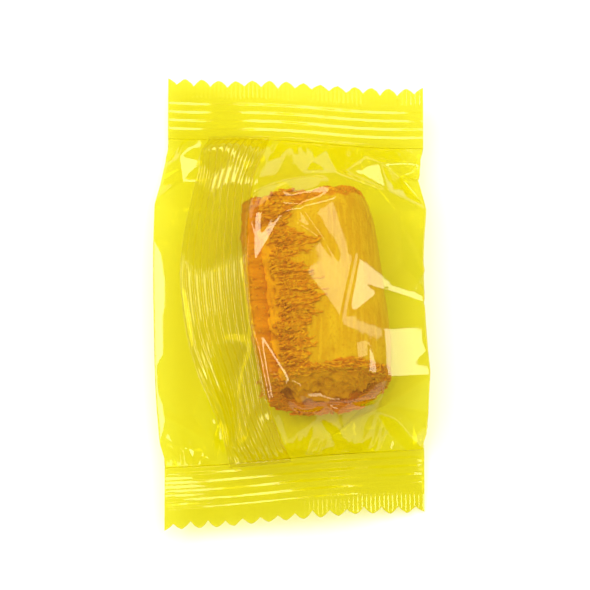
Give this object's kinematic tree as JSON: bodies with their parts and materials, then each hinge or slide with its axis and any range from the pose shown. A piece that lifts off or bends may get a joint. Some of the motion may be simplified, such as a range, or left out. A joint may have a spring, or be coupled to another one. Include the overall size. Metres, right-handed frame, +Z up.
{
  "type": "wrapped peanut butter filled candy",
  "caption": "Crunchy filled candy sealed in a small pillow pack of clear yellow film, with a folded back seam and crimped zigzag ends.",
  "frame": {"origin": "bottom centre of the pack's bounding box, on the surface that it lies on", "axes": "+Z up through the side with the long seam, +Y along the pack from one end seal to the other, +X across it"},
  "size_m": [0.0344, 0.0584, 0.0144],
  "materials": {
    "film": "thin clear yellow film with crisp, glossy creases",
    "candy_shell": "satin golden brown candy with fine pulled lines and crumbly torn edges",
    "peanut_filling": "rough crumbly layered filling"
  },
  "bodies": {
    "root": {"wrapped_candy": "film"}
  },
  "joints": []
}
